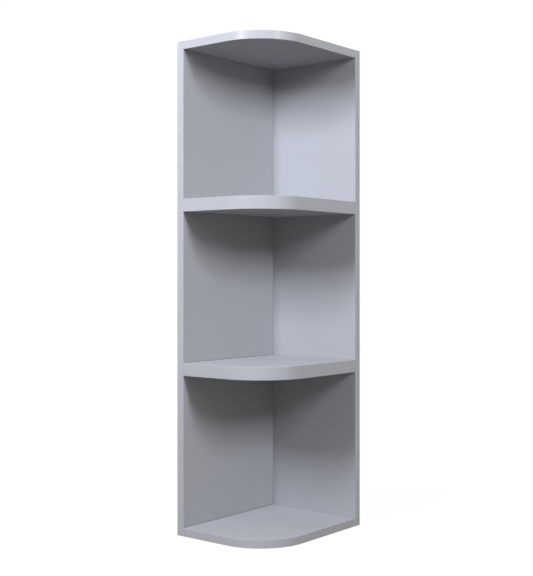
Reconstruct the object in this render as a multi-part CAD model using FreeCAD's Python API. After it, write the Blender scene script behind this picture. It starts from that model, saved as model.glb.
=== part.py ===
import FreeCAD, Part
import math
import os

# Open end unit for a row of wall cabinets. A side panel and a back panel meet at a right angle
# and carry four fixed boards, each with one large rounded free corner.
# Millimetres. X runs along the wall, Y runs into the wall and Z is up.
# The origin is under the middle of the footprint, on the surface that the unit can stand on.

# The whole unit
overall_width = 228.0  # along the wall, out from the neighbouring cabinet
overall_depth = 295.0  # out from the wall
overall_height = 960.0
corner_radius = 100.0  # free front corner of each board

# Boards
panel_thickness = 16.0  # side panel and back panel
end_board_thickness = 16.0  # top and bottom boards
shelf_thickness = 25.0  # the two shelves between them

# Clear heights between the boards; the top bay takes what is left
bottom_bay_height = 295.0
middle_bay_height = 293.0

# Bands glued to the edges that show
band_thickness = 1.0
band_arris_radius = 0.5  # rounding where a band meets a face
band_arris_limit_share = 0.9  # most of a band that its rounding may take

# Connecting screws, driven through an upright into the edge of a board
connector_length = 50.0
connector_diameter = 7.0  # plain neck and outside of the thread
connector_core_diameter = 4.8  # bottom of the thread
connector_head_diameter = 10.0
connector_head_rim = 0.8  # straight part of the head, above its cone
connector_neck_length = 13.0  # from the top of the head to the thread
connector_pitch = 3.0
connector_tip_diameter = 3.0
connector_tip_length = 4.0
connector_socket_width = 4.0  # hexagon, across its flats
connector_socket_depth = 3.5
connector_sink = 0.3  # from the face of the board down to the head
connector_end_distance = 55.0  # from the end of a joint to its nearest screw

# Dowels that locate the same joints
dowel_diameter = 8.0
dowel_length = 30.0
dowel_chamfer = 1.0
dowel_cover = 4.0  # board left behind a dowel hole in an upright

# Upright joint between the two panels: places in each bay, as shares of its height
bay_connector_shares = [0.5]
bay_dowel_shares = [0.2, 0.8]

# Keyhole hanger plates let into the rear of the back panel
hanger_width = 20.0
hanger_height = 64.0
hanger_thickness = 2.0
hanger_sink = 0.2  # from the face of the board down to the plate
hanger_end_distance = 46.0  # from each end of the back panel to the middle of a plate
hanger_top_distance = 70.0  # from the top of the unit to the middle of a plate
keyhole_entry_diameter = 9.5
keyhole_slot_width = 5.0
keyhole_rise = 11.0  # from the middle of the entry up to the end of the slot
keyhole_room = 1.5  # round the head of a wall screw, behind the plate
keyhole_floor = 6.0  # board left in front of that room

# Countersunk screws that hold the plates
plate_screw_length = 10.0
plate_screw_diameter = 3.0
plate_screw_core_diameter = 2.0
plate_screw_head_diameter = 6.0
plate_screw_head_rim = 0.2
plate_screw_neck_length = 2.6
plate_screw_pitch = 1.3
plate_screw_tip_diameter = 0.8
plate_screw_tip_length = 2.5
plate_screw_socket_width = 2.5
plate_screw_socket_depth = 1.2

# Fits and cuts
thread_ridge_share = 0.5  # part of the pitch that one thread ridge takes
fit_clearance = 0.05  # round a screw, dowel or plate, on each side
hole_end_room = 1.0  # past the end of a screw or dowel
cut_overrun = 5.0  # how far a cutting shape stands out of the face that it enters
same_place = 0.001  # nearer than this counts as touching

# Faces of the unit
left = -overall_width / 2  # outer face of the side panel
right = overall_width / 2
front = -overall_depth / 2
rear = overall_depth / 2  # against the wall
board_left = left + panel_thickness  # inner face of the side panel
board_rear = rear - panel_thickness  # inner face of the back panel
arris_radius = min(band_arris_radius, band_thickness * band_arris_limit_share)

# Directions
Vector = FreeCAD.Vector
up = Vector(0, 0, 1)
into_side = Vector(1, 0, 0)  # from the side panel's outer face into the unit
into_back = Vector(0, -1, 0)  # from the wall into the unit

# Boards from the bottom up, with a bay on each but the last
board_names = ["bottom_board", "lower_shelf", "upper_shelf", "top_board"]
board_thicknesses = [end_board_thickness, shelf_thickness, shelf_thickness, end_board_thickness]
top_bay_height = overall_height - sum(board_thicknesses) - bottom_bay_height - middle_bay_height
bay_heights = [bottom_bay_height, middle_bay_height, top_bay_height]
board_undersides = [0]
bay_floors = []
for thickness, bay_height in zip(board_thicknesses, bay_heights):
    bay_floors.append(board_undersides[-1] + thickness)
    board_undersides.append(bay_floors[-1] + bay_height)


def block(x_span, y_span, z_span):
    """Box between the two ends of each span."""
    corner = Vector(x_span[0], y_span[0], z_span[0])
    return Part.makeBox(x_span[1] - x_span[0], y_span[1] - y_span[0], z_span[1] - z_span[0], corner)


def filled(curves):
    """Flat face inside a closed run of lines and arcs."""
    return Part.Face(Part.Wire([curve.toShape() for curve in curves]))


def turned(points):
    """Solid of revolution about Z, from the outline of half its section as (radius, height)."""
    corners = [Vector(radius, 0, height) for radius, height in points]
    section = Part.Face(Part.makePolygon(corners + corners[:1]))
    return section.revolve(Vector(0, 0, 0), up, 360)


def aimed(shape, start, direction):
    """Copy of a shape made along Z, moved to start and turned to point along direction."""
    copy = shape.copy()
    copy.Placement = FreeCAD.Placement(start, FreeCAD.Rotation(up, direction))
    return copy


def write(name, solids):
    """One file for one node, which may hold a group of like solids."""
    shape = solids[0] if len(solids) == 1 else Part.makeCompound(solids)
    shape.exportStep("parts/" + name + ".step")


# Boards and bands
def board_face(inset):
    """Plan of a board, with the edges that carry a band drawn in by inset."""
    free_side = right - inset
    front_side = front + inset
    radius = corner_radius - inset
    centre = Vector(right - corner_radius, front + corner_radius, 0)
    bend = radius * math.sin(math.radians(45))
    inner_corner = Vector(board_left, board_rear, 0)
    front_left = Vector(board_left, front_side, 0)
    arc_start = Vector(centre.x, front_side, 0)
    arc_middle = Vector(centre.x + bend, centre.y - bend, 0)
    arc_end = Vector(free_side, centre.y, 0)
    rear_right = Vector(free_side, board_rear, 0)
    return filled([
        Part.LineSegment(inner_corner, front_left),
        Part.LineSegment(front_left, arc_start),
        Part.Arc(arc_start, arc_middle, arc_end),
        Part.LineSegment(arc_end, rear_right),
        Part.LineSegment(rear_right, inner_corner),
    ])


def slab(inset, underside, top):
    """Board-shaped slab between two levels."""
    return board_face(inset).translated(up * underside).extrude(up * (top - underside))


def eased(solid, stays_sharp):
    """Solid with its edges rounded, apart from those whose boxes stays_sharp accepts."""
    edges = [edge for edge in solid.Edges if not stays_sharp(edge.BoundBox)]
    return solid.makeFillet(arris_radius, edges)


def board_and_band(underside, thickness):
    """Bare core of a board, and the band round its front."""
    top = underside + thickness

    def hidden_or_upright(box):
        on_side_panel = box.XMax < board_left + same_place
        on_back_panel = box.YMin > board_rear - same_place
        return on_side_panel or on_back_panel or box.ZLength > same_place

    whole = eased(slab(0, underside, top), hidden_or_upright)
    band = whole.cut(slab(band_thickness, underside - cut_overrun, top + cut_overrun))
    return slab(band_thickness, underside, top), band


def joined(one, other):
    """Span that two neighbouring spans make together."""
    return min(one + other), max(one + other)


def upright(core_x, core_y, end_x, end_y, stays_sharp):
    """Core of an upright panel, then its end, top and bottom bands, from the plans of core and end band."""
    whole = eased(block(joined(core_x, end_x), joined(core_y, end_y), (0, overall_height)), stays_sharp)
    core_z = (band_thickness, overall_height - band_thickness)
    end_band = whole.common(block(end_x, end_y, (0, overall_height)))
    top_band = whole.common(block(core_x, core_y, (core_z[1], overall_height)))
    bottom_band = whole.common(block(core_x, core_y, (0, core_z[0])))
    return block(core_x, core_y, core_z), end_band, top_band, bottom_band


def side_panel():
    """Runs from the wall to the front, with its band facing the room."""
    thick = (left, board_left)
    core_y = (front + band_thickness, rear)
    end_y = (front, front + band_thickness)
    return upright(thick, core_y, thick, end_y, lambda box: box.YMin > rear - same_place)


def back_panel():
    """Butts against the side panel and runs along the wall, with its band at the free end."""
    thick = (board_rear, rear)
    core_x = (board_left, right - band_thickness)
    end_x = (right - band_thickness, right)
    return upright(core_x, thick, end_x, thick, lambda box: box.XMax < board_left + same_place)


# Screws and dowels, all made along Z from the end that goes in last
def hexagon(width, depth):
    """Socket for a hexagon key, from Z = 0 down into the head."""
    reach = width / math.sqrt(3)
    turns = [math.radians(60 * step) for step in range(7)]
    corners = [Vector(reach * math.cos(turn), reach * math.sin(turn), 0) for turn in turns]
    return Part.Face(Part.makePolygon(corners)).extrude(up * depth)


def screw(length, diameter, core_diameter, head_diameter, rim, neck, pitch, tip_diameter, tip_length):
    """Countersunk screw with its head at Z = 0. Its thread is a row of closed ridges."""
    head = head_diameter / 2
    body = diameter / 2
    core = core_diameter / 2
    points = [(0, 0), (head, 0), (head, rim), (body, rim + head - body), (body, neck), (core, neck)]
    ridge = pitch * thread_ridge_share
    ridge_count = int((length - tip_length - neck) / pitch)
    for turn in range(ridge_count):
        start = neck + (turn + 1) * pitch - ridge
        points += [(core, start), (body, start + ridge / 2), (core, start + ridge)]
    points += [(core, length - tip_length), (tip_diameter / 2, length), (0, length)]
    return turned(points)


def screw_hole(length, diameter, head_diameter, rim):
    """Room for such a screw, with its countersink open above the head."""
    head = head_diameter / 2 + fit_clearance
    body = diameter / 2 + fit_clearance
    floor = length + hole_end_room
    return turned([
        (0, -cut_overrun), (head, -cut_overrun), (head, rim), (body, rim + head - body),
        (body, floor), (0, floor),
    ])


connector = screw(
    connector_length, connector_diameter, connector_core_diameter, connector_head_diameter,
    connector_head_rim, connector_neck_length, connector_pitch, connector_tip_diameter,
    connector_tip_length,
).cut(hexagon(connector_socket_width, connector_socket_depth))
connector_hole = screw_hole(
    connector_length, connector_diameter, connector_head_diameter, connector_head_rim,
)

plate_screw = screw(
    plate_screw_length, plate_screw_diameter, plate_screw_core_diameter, plate_screw_head_diameter,
    plate_screw_head_rim, plate_screw_neck_length, plate_screw_pitch, plate_screw_tip_diameter,
    plate_screw_tip_length,
).cut(hexagon(plate_screw_socket_width, plate_screw_socket_depth))
plate_screw_hole = screw_hole(
    plate_screw_length, plate_screw_diameter, plate_screw_head_diameter, plate_screw_head_rim,
)

dowel_radius = dowel_diameter / 2
dowel = turned([
    (0, 0), (dowel_radius - dowel_chamfer, 0), (dowel_radius, dowel_chamfer),
    (dowel_radius, dowel_length - dowel_chamfer), (dowel_radius - dowel_chamfer, dowel_length),
    (0, dowel_length),
])
dowel_hole = Part.makeCylinder(
    dowel_radius + fit_clearance, dowel_length + 2 * hole_end_room, Vector(0, 0, -hole_end_room),
)
dowel_start = dowel_cover + hole_end_room  # from the outer face of an upright


class Joint:
    """Screws and dowels of one joint, with the holes that they need."""

    def __init__(self):
        self.screws = []
        self.dowels = []
        self.holes = []

    def add_screw(self, face_point, direction):
        start = face_point + direction * connector_sink
        self.screws.append(aimed(connector, start, direction))
        self.holes.append(aimed(connector_hole, start, direction))

    def add_dowel(self, face_point, direction):
        start = face_point + direction * dowel_start
        self.dowels.append(aimed(dowel, start, direction))
        self.holes.append(aimed(dowel_hole, start, direction))


def between(low, high):
    """A screw near each end of a joint, and a dowel midway."""
    return (low + connector_end_distance, high - connector_end_distance), (low + high) / 2


def board_joint(underside, thickness):
    """Joint of one board with the side panel and the back panel."""
    joint = Joint()
    height = underside + thickness / 2
    screws, dowel_place = between(front, board_rear)
    for place in screws:
        joint.add_screw(Vector(left, place, height), into_side)
    joint.add_dowel(Vector(left, dowel_place, height), into_side)
    screws, dowel_place = between(board_left, right)
    for place in screws:
        joint.add_screw(Vector(place, rear, height), into_back)
    joint.add_dowel(Vector(dowel_place, rear, height), into_back)
    return joint


def corner_joint():
    """Joint of the side panel with the edge of the back panel, bay by bay."""
    joint = Joint()
    middle = rear - panel_thickness / 2
    for floor, bay_height in zip(bay_floors, bay_heights):
        for share in bay_connector_shares:
            joint.add_screw(Vector(left, middle, floor + bay_height * share), into_side)
        for share in bay_dowel_shares:
            joint.add_dowel(Vector(left, middle, floor + bay_height * share), into_side)
    return joint


# Hangers, made flat with X across, Y up the wall and Z going into the board
def stadium(width, height, low, high):
    """Upright slot shape with round ends, between two depths."""
    radius = width / 2
    reach = height / 2 - radius
    top_right = Vector(radius, reach, low)
    top_left = Vector(-radius, reach, low)
    bottom_left = Vector(-radius, -reach, low)
    bottom_right = Vector(radius, -reach, low)
    return filled([
        Part.LineSegment(bottom_right, top_right),
        Part.Arc(top_right, Vector(0, reach + radius, low), top_left),
        Part.LineSegment(top_left, bottom_left),
        Part.Arc(bottom_left, Vector(0, -reach - radius, low), bottom_right),
    ]).extrude(up * (high - low))


def hanger(middle):
    """Keyhole plate, its two screws and the room that they take out of the back panel."""
    seat = middle + into_back * hanger_sink
    through = hanger_thickness + cut_overrun
    entry_foot = Vector(0, -keyhole_rise / 2, -through)
    entry = Part.makeCylinder(keyhole_entry_diameter / 2, 2 * through, entry_foot)
    slot = stadium(keyhole_slot_width, keyhole_rise + keyhole_slot_width, -through, through)
    pocket = stadium(
        hanger_width + 2 * fit_clearance, hanger_height + 2 * fit_clearance, -cut_overrun, hanger_thickness,
    )
    room_width = keyhole_entry_diameter + 2 * keyhole_room
    room_depth = panel_thickness - keyhole_floor - hanger_sink
    room = stadium(room_width, keyhole_rise + room_width, 0, room_depth)
    screw_reach = (hanger_height - hanger_width) / 2
    screw_places = [seat - up * screw_reach, seat + up * screw_reach]
    screws = [aimed(plate_screw, place, into_back) for place in screw_places]
    screw_holes = [aimed(plate_screw_hole, place, into_back) for place in screw_places]
    blank = stadium(hanger_width, hanger_height, 0, hanger_thickness).cut([entry, slot])
    plate = aimed(blank, seat, into_back).cut(screw_holes)
    holes = [aimed(pocket, seat, into_back), aimed(room, seat, into_back)] + screw_holes
    return plate, screws, holes


os.makedirs("parts", exist_ok=True)

corner = corner_joint()
write("corner_joint_screws", corner.screws)
write("corner_joint_dowels", corner.dowels)
holes = list(corner.holes)

for name, underside, thickness in zip(board_names, board_undersides, board_thicknesses):
    joint = board_joint(underside, thickness)
    core, band = board_and_band(underside, thickness)
    write(name, [core.cut(joint.holes)])
    write(name + "_band", [band])
    write(name + "_screws", joint.screws)
    write(name + "_dowels", joint.dowels)
    holes += joint.holes

core, end_band, top_band, bottom_band = side_panel()
write("side_panel", [core.cut(holes)])
write("side_panel_front_band", [end_band])
write("side_panel_top_band", [top_band])
write("side_panel_bottom_band", [bottom_band])

hanger_level = overall_height - hanger_top_distance
hanger_places = {
    "left_hanger": board_left + hanger_end_distance,
    "right_hanger": right - hanger_end_distance,
}
for name, place in hanger_places.items():
    plate, screws, pockets = hanger(Vector(place, rear, hanger_level))
    write(name + "_plate", [plate])
    write(name + "_screws", screws)
    holes += pockets

core, end_band, top_band, bottom_band = back_panel()
write("back_panel", [core.cut(holes)])
write("back_panel_end_band", [end_band])
write("back_panel_top_band", [top_band])
write("back_panel_bottom_band", [bottom_band])
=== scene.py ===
import math

import bmesh
import bpy
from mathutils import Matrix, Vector


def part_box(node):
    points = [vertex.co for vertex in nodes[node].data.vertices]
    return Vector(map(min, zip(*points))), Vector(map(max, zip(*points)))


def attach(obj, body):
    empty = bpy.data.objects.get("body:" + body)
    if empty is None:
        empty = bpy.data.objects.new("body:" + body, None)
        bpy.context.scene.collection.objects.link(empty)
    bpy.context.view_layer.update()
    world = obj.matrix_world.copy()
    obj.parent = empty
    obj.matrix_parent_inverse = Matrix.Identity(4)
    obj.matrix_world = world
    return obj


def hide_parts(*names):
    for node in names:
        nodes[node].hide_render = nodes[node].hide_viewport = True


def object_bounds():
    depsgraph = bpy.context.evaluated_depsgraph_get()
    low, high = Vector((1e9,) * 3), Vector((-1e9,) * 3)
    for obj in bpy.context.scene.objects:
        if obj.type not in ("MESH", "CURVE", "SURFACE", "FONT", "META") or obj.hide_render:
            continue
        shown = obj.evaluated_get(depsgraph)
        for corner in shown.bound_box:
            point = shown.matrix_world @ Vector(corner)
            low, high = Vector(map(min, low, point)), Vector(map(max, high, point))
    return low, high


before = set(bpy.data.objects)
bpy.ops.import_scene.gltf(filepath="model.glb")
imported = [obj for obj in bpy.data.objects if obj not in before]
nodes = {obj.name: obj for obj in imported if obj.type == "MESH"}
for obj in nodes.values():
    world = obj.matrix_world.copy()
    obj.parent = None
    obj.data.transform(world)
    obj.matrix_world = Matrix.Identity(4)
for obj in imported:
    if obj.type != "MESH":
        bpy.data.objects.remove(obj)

cadLow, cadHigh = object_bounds()
scene = bpy.context.scene
x, y, z = 0, 1, 2
print("frame loaded:", len(nodes), "nodes")

# shader helpers
noiseMiddle = (0.3, 0.7)    # where nearly all values of a noise lie
mixSlots = {"RGBA": (6, 7, 2), "FLOAT": (2, 3, 0)}    # a Mix node's two inputs and its output


def addNode(tree, kind, at, **settings):
    node = tree.nodes.new(kind)
    node.location = at
    for key, value in settings.items():
        setattr(node, key, value)
    return node


def setInputs(node, values):
    for key, value in values.items():
        node.inputs[key].default_value = value


def fillSocket(tree, socket, value):
    if isinstance(value, (int, float, tuple)):
        socket.default_value = value
    else:
        tree.links.new(value, socket)


def noise(tree, at, coords, scale, detail=2.0, roughness=0.5):
    node = addNode(tree, "ShaderNodeTexNoise", at)
    setInputs(node, {"Scale": scale, "Detail": detail, "Roughness": roughness})
    tree.links.new(coords, node.inputs["Vector"])
    return node.outputs["Fac"]


def combine(tree, at, operation, first, second):
    node = addNode(tree, "ShaderNodeMath", at, operation=operation)
    fillSocket(tree, node.inputs[0], first)
    fillSocket(tree, node.inputs[1], second)
    return node.outputs[0]


def blend(tree, at, kind, factor, first, second):
    node = addNode(tree, "ShaderNodeMix", at, data_type=kind)
    firstSlot, secondSlot, result = mixSlots[kind]
    tree.links.new(factor, node.inputs[0])
    fillSocket(tree, node.inputs[firstSlot], first)
    fillSocket(tree, node.inputs[secondSlot], second)
    return node.outputs[result]


# a noise stretched to run from low to high
def spread(tree, at, value, low, high):
    node = addNode(tree, "ShaderNodeMapRange", at)
    setInputs(node, {"From Min": noiseMiddle[0], "From Max": noiseMiddle[1], "To Min": low, "To Max": high})
    tree.links.new(value, node.inputs["Value"])
    return node.outputs["Result"]


def wander(tree, at, value, reach):
    return spread(tree, at, value, -reach, reach)


def shadeBy(tree, at, colour, factor):
    node = addNode(tree, "ShaderNodeVectorMath", at, operation="SCALE")
    tree.links.new(colour, node.inputs[0])
    tree.links.new(factor, node.inputs["Scale"])
    return node.outputs[0]


def stretchCoords(tree, at, coords, scale):
    node = addNode(tree, "ShaderNodeMapping", at)
    node.inputs["Scale"].default_value = scale
    tree.links.new(coords, node.inputs["Vector"])
    return node.outputs["Vector"]


def startGroup(name, inputs, outputs):
    group = bpy.data.node_groups.new(name, "ShaderNodeTree")
    for label, kind in inputs.items():
        group.interface.new_socket(name=label, in_out="INPUT", socket_type="NodeSocket" + kind)
    for label, kind in outputs.items():
        group.interface.new_socket(name=label, in_out="OUTPUT", socket_type="NodeSocket" + kind)
    source = addNode(group, "NodeGroupInput", (-900, 0))
    result = addNode(group, "NodeGroupOutput", (700, 0))
    return group, source, result


# satin foil: slow tone drift, fine speckle, pearl-like surface
satin = {
    "driftScale": 5.0,
    "speckScale": 950.0,
    "pearlScale": 1500.0,
    "smearScale": 17.0,
    "smear": 0.045,         # how far the dullness wanders
}


def makeSatinSkin():
    group, source, result = startGroup(
        "satinSkin",
        {"Coords": "Vector", "Tint": "Color", "Drift": "Float", "Speckle": "Float", "Dullness": "Float"},
        {"Color": "Color", "Roughness": "Float", "Height": "Float"})
    coords = source.outputs["Coords"]
    broad = noise(group, (-700, 300), coords, satin["driftScale"], detail=3.0)
    speck = noise(group, (-700, 100), coords, satin["speckScale"], detail=1.0)
    pearl = noise(group, (-700, -100), coords, satin["pearlScale"])
    smear = noise(group, (-700, -300), coords, satin["smearScale"], detail=4.0, roughness=0.6)
    slow = wander(group, (-500, 300), broad, 1.0)
    fine = wander(group, (-500, 100), speck, 1.0)
    slowTone = combine(group, (-300, 300), "MULTIPLY", slow, source.outputs["Drift"])
    fineTone = combine(group, (-300, 100), "MULTIPLY", fine, source.outputs["Speckle"])
    change = combine(group, (-100, 200), "ADD", slowTone, fineTone)
    tone = combine(group, (100, 200), "ADD", change, 1.0)
    colour = shadeBy(group, (300, 200), source.outputs["Tint"], tone)
    smeared = wander(group, (-300, -300), smear, satin["smear"])
    dull = combine(group, (100, -200), "ADD", smeared, source.outputs["Dullness"])
    group.links.new(colour, result.inputs["Color"])
    group.links.new(dull, result.inputs["Roughness"])
    group.links.new(pearl, result.inputs["Height"])
    return group


# pressed wood chips inside the boards, seen at the bare edge and in the holes
chips = {
    "scale": 520.0,
    "lie": (1.0, 1.0, 0.45),                        # chips lie along the board
    "fibreScale": 2600.0,
    "chipShare": 0.65,
    "fibreShare": 0.35,
    "dark": (0.12, (0.17, 0.105, 0.055, 1.0)),      # place on the colour ramp, colour there
    "middle": (0.45, (0.39, 0.265, 0.155, 1.0)),
    "pale": (0.85, (0.56, 0.41, 0.26, 1.0)),
}


def makeChipCore():
    group, source, result = startGroup(
        "chipCore", {"Coords": "Vector"}, {"Color": "Color", "Height": "Float"})
    coords = source.outputs["Coords"]
    cells = addNode(group, "ShaderNodeTexVoronoi", (-600, 200))
    setInputs(cells, {"Scale": chips["scale"], "Randomness": 1.0})
    group.links.new(stretchCoords(group, (-750, 200), coords, chips["lie"]), cells.inputs["Vector"])
    parts = addNode(group, "ShaderNodeSeparateColor", (-400, 200))
    group.links.new(cells.outputs["Color"], parts.inputs["Color"])
    fibre = noise(group, (-600, -100), coords, chips["fibreScale"], detail=3.0)
    chipPart = combine(group, (-300, 200), "MULTIPLY", parts.outputs[0], chips["chipShare"])
    fibrePart = combine(group, (-300, -50), "MULTIPLY", fibre, chips["fibreShare"])
    mixed = combine(group, (-200, 100), "ADD", chipPart, fibrePart)
    ramp = addNode(group, "ShaderNodeValToRGB", (0, 150))
    stops = ramp.color_ramp.elements
    stops[0].position, stops[0].color = chips["dark"]
    stops[1].position, stops[1].color = chips["pale"]
    middlePlace, middleColour = chips["middle"]
    stops.new(middlePlace).color = middleColour
    group.links.new(mixed, ramp.inputs["Fac"])
    group.links.new(ramp.outputs["Color"], result.inputs["Color"])
    group.links.new(mixed, result.inputs["Height"])
    return group


# thin uneven shade where two boards meet
jointShade = {
    "patchScale": 130.0,
    "faintest": 0.65,
}


def makeJointLine():
    group, source, result = startGroup(
        "jointLine", {"Coords": "Vector", "Distance": "Float", "Width": "Float"}, {"Mask": "Float"})
    near = addNode(group, "ShaderNodeMapRange", (-300, 100))
    setInputs(near, {"From Min": 0.0, "To Min": 1.0, "To Max": 0.0})
    group.links.new(source.outputs["Distance"], near.inputs["Value"])
    group.links.new(source.outputs["Width"], near.inputs["From Max"])
    patches = noise(group, (-500, -200), source.outputs["Coords"], jointShade["patchScale"], detail=3.0)
    uneven = spread(group, (-300, -200), patches, jointShade["faintest"], 1.0)
    mask = combine(group, (0, 0), "MULTIPLY", near.outputs["Result"], uneven)
    group.links.new(mask, result.inputs["Mask"])
    return group


# faint lines left along a drawn plastic strip; the coords come stretched along the strip
drawn = {
    "coarseScale": 1.0,
    "coarseShare": 0.6,
    "fineScale": 3.7,
    "fineShare": 0.4,
}


def makeDrawnLines():
    group, source, result = startGroup("drawnLines", {"Coords": "Vector"}, {"Lines": "Float"})
    coords = source.outputs["Coords"]
    coarse = noise(group, (-600, 100), coords, drawn["coarseScale"], detail=1.0)
    fine = noise(group, (-600, -100), coords, drawn["fineScale"])
    coarsePart = combine(group, (-450, 100), "MULTIPLY", coarse, drawn["coarseShare"])
    finePart = combine(group, (-450, -100), "MULTIPLY", fine, drawn["fineShare"])
    both = combine(group, (-300, 0), "ADD", coarsePart, finePart)
    group.links.new(wander(group, (0, 0), both, 1.0), result.inputs["Lines"])
    return group


# rubbed places along the rounded edges of a strip, which also carry a painted highlight
rubbingAndHighlight = {
    "patchScale": 42.0,
    "falloff": 2.0,         # how quickly it ends beside the edge
}


def makeRubbedHighlitArris():
    group, source, result = startGroup(
        "rubbedHighlitArris", {"Coords": "Vector", "Arris": "Float"}, {"Mask": "Float"})
    wearAndHighlight = noise(group, (-600, 100), source.outputs["Coords"], rubbingAndHighlight["patchScale"], detail=4.0)
    patches = spread(group, (-400, 100), wearAndHighlight, 0.0, 1.0)
    nearEdge = combine(group, (-400, -100), "POWER", source.outputs["Arris"], rubbingAndHighlight["falloff"])
    # mask for real wear and for the painted highlight along each arris
    mask = combine(group, (0, 0), "MULTIPLY", patches, nearEdge)
    group.links.new(mask, result.inputs["Mask"])
    return group


# zinc plating: cloudy, with fine drag lines
zinc = {
    "cloudScale": 160.0,
    "cloudTone": (0.86, 1.10),
    "cloudDull": 0.06,
    "dragScale": 2400.0,
    "dragStretch": (1.0, 1.0, 0.04),
    "dragDull": 0.05,
    "bump": 0.15,
    "bumpDepth": 0.00005,
}


def makePlatedZinc():
    group, source, result = startGroup(
        "platedZinc", {"Coords": "Vector", "Tint": "Color", "Dullness": "Float"},
        {"Color": "Color", "Roughness": "Float", "Height": "Float"})
    coords = source.outputs["Coords"]
    cloud = noise(group, (-700, 200), coords, zinc["cloudScale"], detail=4.0, roughness=0.65)
    dragCoords = stretchCoords(group, (-850, -100), coords, zinc["dragStretch"])
    drag = noise(group, (-700, -100), dragCoords, zinc["dragScale"])
    tone = spread(group, (-300, 200), cloud, *zinc["cloudTone"])
    colour = shadeBy(group, (200, 200), source.outputs["Tint"], tone)
    cloudPart = wander(group, (-300, 0), cloud, zinc["cloudDull"])
    dragPart = wander(group, (-300, -200), drag, zinc["dragDull"])
    change = combine(group, (-100, -100), "ADD", cloudPart, dragPart)
    dull = combine(group, (100, -100), "ADD", source.outputs["Dullness"], change)
    group.links.new(colour, result.inputs["Color"])
    group.links.new(dull, result.inputs["Roughness"])
    group.links.new(drag, result.inputs["Height"])
    return group


satinSkin = makeSatinSkin()
chipCore = makeChipCore()
jointLine = makeJointLine()
drawnLines = makeDrawnLines()
rubbedHighlitArris = makeRubbedHighlitArris()
platedZinc = makePlatedZinc()
print("shared effects made:", len(bpy.data.node_groups))


def startMaterial(name):
    mat = bpy.data.materials.new(name)
    mat.use_nodes = True
    tree = mat.node_tree
    shader = tree.nodes["Principled BSDF"]
    coords = addNode(tree, "ShaderNodeTexCoord", (-1200, 0)).outputs["Object"]
    return mat, tree, shader, coords


def placeGroup(tree, group, at, coords, **values):
    node = addNode(tree, "ShaderNodeGroup", at, node_tree=group)
    tree.links.new(coords, node.inputs["Coords"])
    setInputs(node, values)
    return node


def addBump(tree, shader, height, strength, distance):
    bump = addNode(tree, "ShaderNodeBump", (-250, -300))
    setInputs(bump, {"Strength": strength, "Distance": distance})
    tree.links.new(height, bump.inputs["Height"])
    tree.links.new(bump.outputs["Normal"], shader.inputs["Normal"])


# boards
boardLook = {
    "foil": (0.352, 0.360, 0.388, 1.0),     # satin foil on both faces
    "foilThick": 0.0003,
    "drift": 0.022,
    "speckle": 0.022,
    "dullness": 0.50,
    "sheen": 0.06,
    "coat": 0.075,                          # clear lacquer over the foil
    "coatDullness": 0.24,
    "coreDullness": 0.85,
    "bump": 0.12,
    "bumpDepth": 0.00008,
    "joint": (0.070, 0.071, 0.073, 1.0),    # shade in the line where two boards meet
    "jointWidth": 0.0006,
}
# a closer joint has a higher value and a thinner line
jointFit = {"corner": 1.0, "side": 0.65, "back": 3.0, "topBack": 1.0}


def nearestJoint(tree, split, joints):
    nearest = None
    for row, (axis, place, fit) in enumerate(joints):
        level = -550 - 60 * row
        offset = combine(tree, (-950, level), "SUBTRACT", split.outputs[axis], place)
        gap = combine(tree, (-800, level), "ABSOLUTE", offset, 0.0)
        fitted = combine(tree, (-650, level), "MULTIPLY", gap, fit)
        nearest = fitted if nearest is None else combine(tree, (-500, level), "MINIMUM", nearest, fitted)
    return nearest


# foil on the two faces, bare chips everywhere else, a shaded line along the joints;
# a panel's joints are on its inner face only, and inner is that face's sign
def boardFinish(nodeName, axis, inner, joints):
    low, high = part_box(nodeName)
    middle = (low[axis] + high[axis]) / 2
    foilStart = (high[axis] - low[axis]) / 2 - boardLook["foilThick"]
    mat, tree, shader, coords = startMaterial("satin_" + nodeName)
    skin = placeGroup(tree, satinSkin, (-700, 250), coords, Tint=boardLook["foil"],
                      Drift=boardLook["drift"], Speckle=boardLook["speckle"],
                      Dullness=boardLook["dullness"])
    core = placeGroup(tree, chipCore, (-700, -100), coords)
    split = addNode(tree, "ShaderNodeSeparateXYZ", (-950, -300))
    tree.links.new(coords, split.inputs[0])
    offset = combine(tree, (-800, -350), "SUBTRACT", split.outputs[axis], middle)
    depth = combine(tree, (-650, -350), "ABSOLUTE", offset, 0.0)
    foiled = combine(tree, (-500, -350), "GREATER_THAN", depth, foilStart)
    line = placeGroup(tree, jointLine, (-300, -600), coords, Width=boardLook["jointWidth"])
    tree.links.new(nearestJoint(tree, split, joints), line.inputs["Distance"])
    shaded = line.outputs["Mask"]
    if inner:
        inwards = combine(tree, (-450, -450), "MULTIPLY", offset, inner)
        onInside = combine(tree, (-300, -450), "GREATER_THAN", inwards, 0.0)
        shaded = combine(tree, (-150, -450), "MULTIPLY", shaded, onInside)
    face = blend(tree, (-450, 250), "RGBA", shaded, skin.outputs["Color"], boardLook["joint"])
    colour = blend(tree, (-300, 200), "RGBA", foiled, core.outputs["Color"], face)
    dull = blend(tree, (-300, 0), "FLOAT", foiled, boardLook["coreDullness"], skin.outputs["Roughness"])
    lift = blend(tree, (-450, -150), "FLOAT", foiled, core.outputs["Height"], skin.outputs["Height"])
    lacquer = combine(tree, (-150, -150), "MULTIPLY", foiled, boardLook["coat"])
    tree.links.new(colour, shader.inputs["Base Color"])
    tree.links.new(dull, shader.inputs["Roughness"])
    tree.links.new(lacquer, shader.inputs["Coat Weight"])
    setInputs(shader, {"Specular IOR Level": boardLook["sheen"],
                       "Coat Roughness": boardLook["coatDullness"]})
    addBump(tree, shader, lift, boardLook["bump"], boardLook["bumpDepth"])
    return mat


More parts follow.
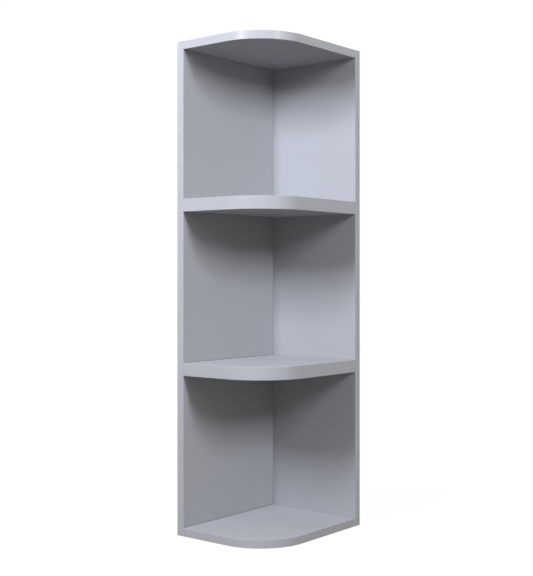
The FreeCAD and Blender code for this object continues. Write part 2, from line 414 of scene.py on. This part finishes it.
levelBoards = ["bottom_board", "lower_shelf", "upper_shelf", "top_board"]
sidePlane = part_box("side_panel")[1].x
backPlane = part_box("back_panel")[0].y
levels = [corner.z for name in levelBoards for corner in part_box(name)]
sideJoints = [(z, level, jointFit["side"]) for level in levels]
backJoints = [(z, level, jointFit["back"]) for level in levels]
# node: the axis across the board, the sign of its inner face, its joints
boards = {
    "side_panel": (x, 1, [(y, backPlane, jointFit["corner"])] + sideJoints),
    "back_panel": (y, -1, [(x, sidePlane, jointFit["corner"])] + backJoints),
}
for name in levelBoards:
    backFit = jointFit["topBack" if name == "top_board" else "back"]
    boards[name] = (z, 0, [(x, sidePlane, jointFit["side"]), (y, backPlane, backFit)])

# edge strips: drawn lines along their length, rubbed arrises with a painted highlight
edgingLook = {
    "tint": (0.368, 0.376, 0.403, 1.0),     # a shade paler than the foil
    "wearAndHighlight": (0.420, 0.428, 0.448, 1.0),     # paler where hands have rubbed an arris, and a painted highlight along it
    "drift": 0.018,
    "speckle": 0.012,
    "dullness": 0.46,
    "wornDullness": 0.36,
    "grain": 0.40,                          # fine texture that spreads the light evenly
    "sheen": 0.06,
    "coat": 0.080,
    "coatDullness": 0.20,
    "alongScale": 9.0,                      # of the drawn lines, along the strip and across it
    "acrossScale": 420.0,
    "lineTone": 0.022,
    "lineDull": 0.03,
    "lineLift": 0.5,
    "bump": 0.10,
    "bumpDepth": 0.00006,
}


def edgingFinish(name, lineScale):
    mat, tree, shader, coords = startMaterial(name)
    skin = placeGroup(tree, satinSkin, (-700, 250), coords, Tint=edgingLook["tint"],
                      Drift=edgingLook["drift"], Speckle=edgingLook["speckle"],
                      Dullness=edgingLook["dullness"])
    lineCoords = stretchCoords(tree, (-950, -50), coords, lineScale)
    lines = placeGroup(tree, drawnLines, (-700, -50), lineCoords).outputs["Lines"]
    mark = addNode(tree, "ShaderNodeAttribute", (-950, -300), attribute_name="arris")
    rubbedHighlit = placeGroup(tree, rubbedHighlitArris, (-700, -300), coords)
    tree.links.new(mark.outputs["Fac"], rubbedHighlit.inputs["Arris"])
    wearAndHighlight = rubbedHighlit.outputs["Mask"]
    lineTone = combine(tree, (-600, 100), "MULTIPLY", lines, edgingLook["lineTone"])
    tone = combine(tree, (-500, 100), "ADD", lineTone, 1.0)
    streaked = shadeBy(tree, (-450, 200), skin.outputs["Color"], tone)
    # painted highlight: the arrises are lightened towards the paler colour, partly real wear
    colour = blend(tree, (-250, 200), "RGBA", wearAndHighlight, streaked, edgingLook["wearAndHighlight"])
    lineDull = combine(tree, (-550, -50), "MULTIPLY", lines, edgingLook["lineDull"])
    dull = combine(tree, (-450, 0), "ADD", skin.outputs["Roughness"], lineDull)
    polished = blend(tree, (-250, 0), "FLOAT", wearAndHighlight, dull, edgingLook["wornDullness"])
    lineLift = combine(tree, (-550, -200), "MULTIPLY", lines, edgingLook["lineLift"])
    height = combine(tree, (-450, -250), "ADD", skin.outputs["Height"], lineLift)
    tree.links.new(colour, shader.inputs["Base Color"])
    tree.links.new(polished, shader.inputs["Roughness"])
    setInputs(shader, {"Diffuse Roughness": edgingLook["grain"], "Specular IOR Level": edgingLook["sheen"],
                       "Coat Weight": edgingLook["coat"], "Coat Roughness": edgingLook["coatDullness"]})
    addBump(tree, shader, height, edgingLook["bump"], edgingLook["bumpDepth"])
    return mat


lineAlong = edgingLook["alongScale"]
lineAcross = edgingLook["acrossScale"]
levelEdging = edgingFinish("levelEdging", (lineAlong, lineAlong, lineAcross))
uprightEdging = edgingFinish("uprightEdging", (lineAcross, lineAcross, lineAlong))

# screws and hanger plates, by the ending of the node's name: finish, tint, dullness
platings = {
    "_hanger_screws": ("yellowZinc", (0.62, 0.49, 0.25, 1.0), 0.36),    # yellow passivated
    "_screws": ("screwZinc", (0.62, 0.63, 0.65, 1.0), 0.36),
    "_plate": ("plateZinc", (0.56, 0.57, 0.59, 1.0), 0.42),
}


def zincFinish(name, tint, dullness):
    mat, tree, shader, coords = startMaterial(name)
    plating = placeGroup(tree, platedZinc, (-600, 100), coords, Tint=tint, Dullness=dullness)
    tree.links.new(plating.outputs["Color"], shader.inputs["Base Color"])
    tree.links.new(plating.outputs["Roughness"], shader.inputs["Roughness"])
    setInputs(shader, {"Metallic": 1.0})
    addBump(tree, shader, plating.outputs["Height"], zinc["bump"], zinc["bumpDepth"])
    return mat


# dowels
beech = {
    "pale": (0.60, 0.42, 0.25, 1.0),
    "dark": (0.45, 0.28, 0.15, 1.0),
    "rayScale": 380.0,
    "poreScale": 1900.0,
    "dullness": 0.62,
    "poreDull": 0.06,
    "bump": 0.3,
    "bumpDepth": 0.0001,
}


def beechFinish():
    mat, tree, shader, coords = startMaterial("beechDowel")
    rays = noise(tree, (-900, 200), coords, beech["rayScale"], detail=3.0)
    pores = noise(tree, (-900, -100), coords, beech["poreScale"])
    darker = spread(tree, (-700, 200), rays, 0.0, 1.0)
    colour = blend(tree, (-450, 200), "RGBA", darker, beech["pale"], beech["dark"])
    uneven = wander(tree, (-700, 0), pores, beech["poreDull"])
    dull = combine(tree, (-450, 0), "ADD", uneven, beech["dullness"])
    tree.links.new(colour, shader.inputs["Base Color"])
    tree.links.new(dull, shader.inputs["Roughness"])
    addBump(tree, shader, pores, beech["bump"], beech["bumpDepth"])
    return mat


hardware = {ending: zincFinish(*plating) for ending, plating in platings.items()}
hardware["_dowels"] = beechFinish()


def dress(nodeName, mat):
    for slot in nodes[nodeName].material_slots:
        slot.material = mat


for nodeName in nodes:
    if nodeName in boards:
        dress(nodeName, boardFinish(nodeName, *boards[nodeName]))
        continue
    for ending, mat in hardware.items():
        if nodeName.endswith(ending):
            dress(nodeName, mat)
            break
print("finishes made:", len(bpy.data.materials))

# shape of the edge strips
edging = {
    "thick": 0.001,
    "arris": 0.0005,        # rounding of the two long edges
    "arrisSteps": 4,
    "rubAndHighlightWidth": 0.0013,     # how far the rubbing and the painted highlight reach in from an arris
    "cornerRadius": 0.100,  # front corner of the boards
    "cornerSteps": 60,
    "smoothAngle": 40.0,
    "sameLevel": 0.000001,  # ends of an edge along the strip differ by less than this across it
}
# node: the axis that the strip faces and its sign, the axis across it, the axis along it
straightStrips = {
    "side_panel_front_band": (y, -1, x, z),
    "side_panel_top_band": (z, 1, x, y),
    "side_panel_bottom_band": (z, -1, x, y),
    "back_panel_end_band": (x, 1, y, z),
    "back_panel_top_band": (z, 1, y, x),
    "back_panel_bottom_band": (z, -1, y, x),
}
roundedStrips = ["bottom_board_band", "lower_shelf_band", "upper_shelf_band", "top_board_band"]
sectionCorners = 6


# closed loop of edges across a strip, at its low end; the outer corners are marked
def stripSection(bm, mark, low, high, facing, side, across, along):
    outer = high[facing] if side > 0 else low[facing]
    inner = outer - side * edging["thick"]
    rubAndHighlightReach = edging["rubAndHighlightWidth"]
    corners = [
        (outer, low[across], 1.0), (inner, low[across], 0.0),
        (inner, high[across], 0.0), (outer, high[across], 1.0),
        (outer, high[across] - rubAndHighlightReach, 0.0), (outer, low[across] + rubAndHighlightReach, 0.0),
    ]
    ring = []
    for depth, width, marked in corners:
        spot = Vector((0.0, 0.0, 0.0))
        spot[facing], spot[across], spot[along] = depth, width, low[along]
        vert = bm.verts.new(spot)
        vert[mark] = marked
        ring.append(vert)
    return [bm.edges.new((a, b)) for a, b in zip(ring, ring[1:] + ring[:1])]


def pull(bm, edges, move):
    grown = bmesh.ops.extrude_edge_only(bm, edges=edges)["geom"]
    verts = [part for part in grown if isinstance(part, bmesh.types.BMVert)]
    bmesh.ops.translate(bm, verts=verts, vec=move)
    return [part for part in grown if isinstance(part, bmesh.types.BMEdge)
            and all(vert in verts for vert in part.verts)]


def isArris(edge, mark, across):
    first, second = edge.verts
    level = abs(first.co[across] - second.co[across]) < edging["sameLevel"]
    return level and first[mark] > 0.5 and second[mark] > 0.5


def finishStrip(bm, mark, across, nodeName, mat):
    bmesh.ops.holes_fill(bm, edges=bm.edges, sides=sectionCorners)
    bmesh.ops.recalc_face_normals(bm, faces=bm.faces)
    arrises = [edge for edge in bm.edges if isArris(edge, mark, across)]
    bmesh.ops.bevel(bm, geom=arrises, offset=edging["arris"], segments=edging["arrisSteps"],
                    profile=0.5, affect="EDGES", material=-1)
    for face in bm.faces:
        face.smooth = True
    mesh = bpy.data.meshes.new(nodeName.replace("_band", "_edging"))
    bm.to_mesh(mesh)
    bm.free()
    mesh.set_sharp_from_angle(angle=math.radians(edging["smoothAngle"]))
    mesh.materials.append(mat)
    piece = bpy.data.objects.new(mesh.name, mesh)
    scene.collection.objects.link(piece)
    flat = piece.modifiers.new("flatFaces", "WEIGHTED_NORMAL")
    flat.keep_sharp = True
    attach(piece, "root")
    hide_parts(nodeName)
    return piece


def straightStrip(nodeName):
    facing, side, across, along = straightStrips[nodeName]
    low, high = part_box(nodeName)
    bm = bmesh.new()
    mark = bm.verts.layers.float.new("arris")
    ring = stripSection(bm, mark, low, high, facing, side, across, along)
    move = Vector((0.0, 0.0, 0.0))
    move[along] = high[along] - low[along]
    pull(bm, ring, move)
    return finishStrip(bm, mark, across, nodeName, uprightEdging if along == z else levelEdging)


# along the front, round the corner, then back to the rear panel
def roundedStrip(nodeName):
    low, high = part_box(nodeName)
    radius = edging["cornerRadius"]
    centre = Vector((high.x - radius, low.y + radius, 0.0))
    bm = bmesh.new()
    mark = bm.verts.layers.float.new("arris")
    ring = stripSection(bm, mark, low, high, y, -1, z, x)
    ring = pull(bm, ring, (centre.x - low.x, 0.0, 0.0))
    ends = {vert for edge in ring for vert in edge.verts}
    turned = bmesh.ops.spin(bm, geom=list(ends) + ring, cent=centre, axis=(0, 0, 1),
                            angle=math.radians(90), steps=edging["cornerSteps"])["geom_last"]
    ring = [part for part in turned if isinstance(part, bmesh.types.BMEdge)]
    pull(bm, ring, (0.0, high.y - centre.y, 0.0))
    return finishStrip(bm, mark, z, nodeName, levelEdging)


strips = [straightStrip(name) for name in straightStrips]
strips += [roundedStrip(name) for name in roundedStrips]
print("edge strips made:", len(strips))

# studio: floor and surroundings that look white, soft boxes
studio = {
    "floorSize": 8.0,
    "floorDrop": 0.0003,                    # keeps the floor clear of the underside
    "floorGrey": (0.23, 0.22, 0.20, 1.0),   # what the floor sends back on to the unit
    "white": (1.0, 1.0, 1.0, 1.0),
    "nearGlow": 0.93,                       # share of plain white near the unit; the rest takes shadow
    "fadeFrom": 0.35,
    "fadeTo": 1.1,
    "ambient": (0.268, 0.262, 0.186, 1.0),  # soft light from all round
}
# angle is measured from straight in front towards the open side
lamps = {
    "frontBox": {"angle": -2.0, "distance": 1.40, "height": 1.36, "wide": 0.30, "tall": 0.50,
                 "power": 35.0, "tint": (0.885, 0.907, 1.0), "shine": True},
    "sideBox": {"angle": 74.5, "distance": 2.1, "height": 1.585, "wide": 0.34, "tall": 0.72,
                "power": 41.6, "tint": (0.92, 0.944, 1.0), "shine": True},
    "rearBox": {"angle": 218.0, "distance": 2.1, "height": 0.55, "wide": 0.90, "tall": 0.90,
                "power": 49.0, "tint": (0.88, 0.91, 1.0), "shine": False},
}
lampAim = Vector((0.0, 0.0, (cadLow[z] + cadHigh[z]) / 2))


# seen by the camera, in a reflection or through glass
def seenDirectly(tree, at):
    path = addNode(tree, "ShaderNodeLightPath", at)
    seen = combine(tree, (at[0] + 200, at[1]), "MAXIMUM", path.outputs["Is Camera Ray"],
                   path.outputs["Is Glossy Ray"])
    return combine(tree, (at[0] + 400, at[1]), "MAXIMUM", seen, path.outputs["Is Transmission Ray"])


def mixShaders(tree, at, factor, first, second):
    node = addNode(tree, "ShaderNodeMixShader", at)
    for socket, source in zip(node.inputs, (factor, first, second)):
        tree.links.new(source, socket)
    return node.outputs[0]


# white to the eye, with the unit's shadow close to it; a plain grey for the light that bounces off it
def floorFinish():
    mat = bpy.data.materials.new("studioFloor")
    mat.use_nodes = True
    tree = mat.node_tree
    tree.nodes.clear()
    output = addNode(tree, "ShaderNodeOutputMaterial", (600, 0))
    coords = addNode(tree, "ShaderNodeTexCoord", (-900, -200)).outputs["Object"]
    reach = addNode(tree, "ShaderNodeVectorMath", (-700, -200), operation="LENGTH")
    tree.links.new(coords, reach.inputs[0])
    fade = addNode(tree, "ShaderNodeMapRange", (-500, -200), interpolation_type="SMOOTHSTEP")
    setInputs(fade, {"From Min": studio["fadeFrom"], "From Max": studio["fadeTo"],
                     "To Min": studio["nearGlow"], "To Max": 1.0})
    tree.links.new(reach.outputs["Value"], fade.inputs["Value"])
    glow = addNode(tree, "ShaderNodeEmission", (-300, -200))
    setInputs(glow, {"Color": studio["white"], "Strength": 1.0})
    paper = addNode(tree, "ShaderNodeBsdfDiffuse", (-300, 0))
    setInputs(paper, {"Color": studio["white"]})
    bounce = addNode(tree, "ShaderNodeBsdfDiffuse", (0, 150))
    setInputs(bounce, {"Color": studio["floorGrey"]})
    lit = mixShaders(tree, (0, -100), fade.outputs["Result"], paper.outputs[0], glow.outputs[0])
    chosen = mixShaders(tree, (300, 0), seenDirectly(tree, (-600, 300)), bounce.outputs[0], lit)
    tree.links.new(chosen, output.inputs["Surface"])
    return mat


def makeFloor():
    bm = bmesh.new()
    bmesh.ops.create_grid(bm, x_segments=1, y_segments=1, size=studio["floorSize"] / 2)
    bmesh.ops.translate(bm, verts=bm.verts, vec=(0.0, 0.0, -studio["floorDrop"]))
    mesh = bpy.data.meshes.new("floor")
    bm.to_mesh(mesh)
    bm.free()
    mesh.materials.append(floorFinish())
    floor = bpy.data.objects.new("floor", mesh)
    scene.collection.objects.link(floor)


def makeSurround():
    world = bpy.data.worlds.new("studio")
    world.use_nodes = True
    tree = world.node_tree
    seen = seenDirectly(tree, (-900, 0))
    colour = blend(tree, (-200, 0), "RGBA", seen, studio["ambient"], studio["white"])
    tree.links.new(colour, tree.nodes["Background"].inputs["Color"])
    scene.world = world


def makeLamp(name, setting):
    lamp = bpy.data.lights.new(name, "AREA")
    lamp.shape = "RECTANGLE"
    lamp.size, lamp.size_y = setting["wide"], setting["tall"]
    lamp.energy = setting["power"]
    lamp.color = setting["tint"]
    angle = math.radians(setting["angle"])
    distance = setting["distance"]
    spot = Vector((math.sin(angle) * distance, -math.cos(angle) * distance, setting["height"]))
    box = bpy.data.objects.new(name, lamp)
    box.location = spot
    box.rotation_euler = (lampAim - spot).to_track_quat("-Z", "Y").to_euler()
    box.visible_camera = False
    box.visible_glossy = setting["shine"]
    scene.collection.objects.link(box)


makeFloor()
makeSurround()
for lampName, setting in lamps.items():
    makeLamp(lampName, setting)
print("studio made:", len(lamps), "lamps")

# camera: a little above the middle of the unit, seeing the front and the open side
view = {
    "place": (1.3221, -1.6456, 0.5049),
    "turn": 38.99,     # degrees from straight ahead; held level, so uprights stay parallel
    "lens": 66.40,
    "sensor": 36.0,
    "shiftY": -0.0212,
}
turn = math.radians(view["turn"])
ahead = Vector((-math.sin(turn), math.cos(turn), 0.0))
lens = bpy.data.cameras.new("camera")
lens.lens = view["lens"]
lens.sensor_width = view["sensor"]
lens.shift_y = view["shiftY"]
camera = bpy.data.objects.new("camera", lens)
camera.location = view["place"]
camera.rotation_euler = ahead.to_track_quat("-Z", "Y").to_euler()
scene.collection.objects.link(camera)
scene.camera = camera
scene.view_settings.view_transform = "Standard"
print("camera placed")

bpy.context.view_layer.update()
